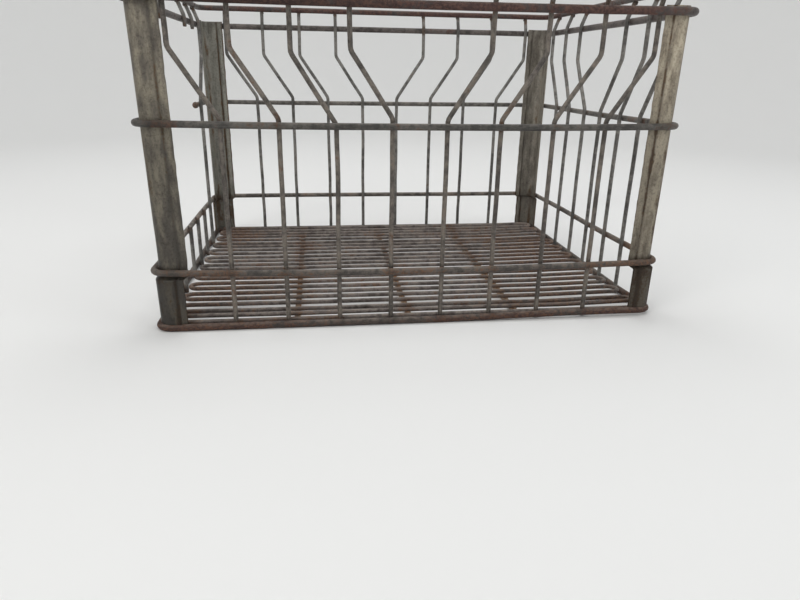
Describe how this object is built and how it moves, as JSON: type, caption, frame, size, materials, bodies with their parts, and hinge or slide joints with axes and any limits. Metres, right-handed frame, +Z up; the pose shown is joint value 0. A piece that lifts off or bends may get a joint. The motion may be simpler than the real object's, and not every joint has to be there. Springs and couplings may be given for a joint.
{
  "type": "milk bottle crate",
  "caption": "Open rectangular crate of welded steel wire with sheet corner posts, hand holds and a wire floor, for carrying and stacking milk bottles.",
  "frame": {"origin": "middle of the footprint, on the floor that the base ring stands on", "axes": "+X along the longer side, to the right seen from the front; +Y to the back; +Z up, out of the open top"},
  "size_m": [0.4458, 0.3498, 0.2795],
  "materials": {
    "rim_wire": "rusted steel wire, reddish brown, matt",
    "ring_wire": "weathered galvanised steel wire, dark grey with rust, matt",
    "upright_wire": "weathered galvanised steel wire, grey brown, matt",
    "post_sheet": "weathered galvanised sheet steel with rust at the edges, matt",
    "floor_wire": "rusted galvanised steel wire, brown, matt"
  },
  "bodies": {
    "root": {"top_rim_wire": "rim_wire", "upper_ring_wire": "rim_wire", "middle_ring_wire": "ring_wire", "lower_ring_wire": "ring_wire", "base_ring_wire": "ring_wire", "corner_post_front_left": "post_sheet", "corner_post_front_right": "post_sheet", "corner_post_back_left": "post_sheet", "corner_post_back_right": "post_sheet", "front_upright_1": "upright_wire", "front_upright_2": "upright_wire", "front_upright_3": "upright_wire", "front_upright_4": "upright_wire", "front_upright_5": "upright_wire", "front_upright_6": "upright_wire", "front_upright_7": "upright_wire", "front_upright_8": "upright_wire", "back_upright_1": "upright_wire", "back_upright_2": "upright_wire", "back_upright_3": "upright_wire", "back_upright_4": "upright_wire", "back_upright_5": "upright_wire", "back_upright_6": "upright_wire", "back_upright_7": "upright_wire", "back_upright_8": "upright_wire", "right_upright_1": "upright_wire", "right_upright_2": "upright_wire", "right_upright_3": "upright_wire", "right_upright_4": "upright_wire", "right_upright_5": "upright_wire", "right_upright_6": "upright_wire", "left_upright_1": "upright_wire", "left_upright_2": "upright_wire", "left_upright_3_lower": "upright_wire", "left_upright_3_upper": "upright_wire", "left_upright_4_lower": "upright_wire", "left_upright_4_upper": "upright_wire", "left_upright_5_lower": "upright_wire", "left_upright_5_upper": "upright_wire", "left_upright_6": "upright_wire", "base_bearer_left": "floor_wire", "base_bearer_middle": "floor_wire", "base_bearer_right": "floor_wire", "base_edge_rod_front": "floor_wire", "base_edge_rod_back": "floor_wire", "base_serpentine_wire": "floor_wire"}
  },
  "joints": []
}
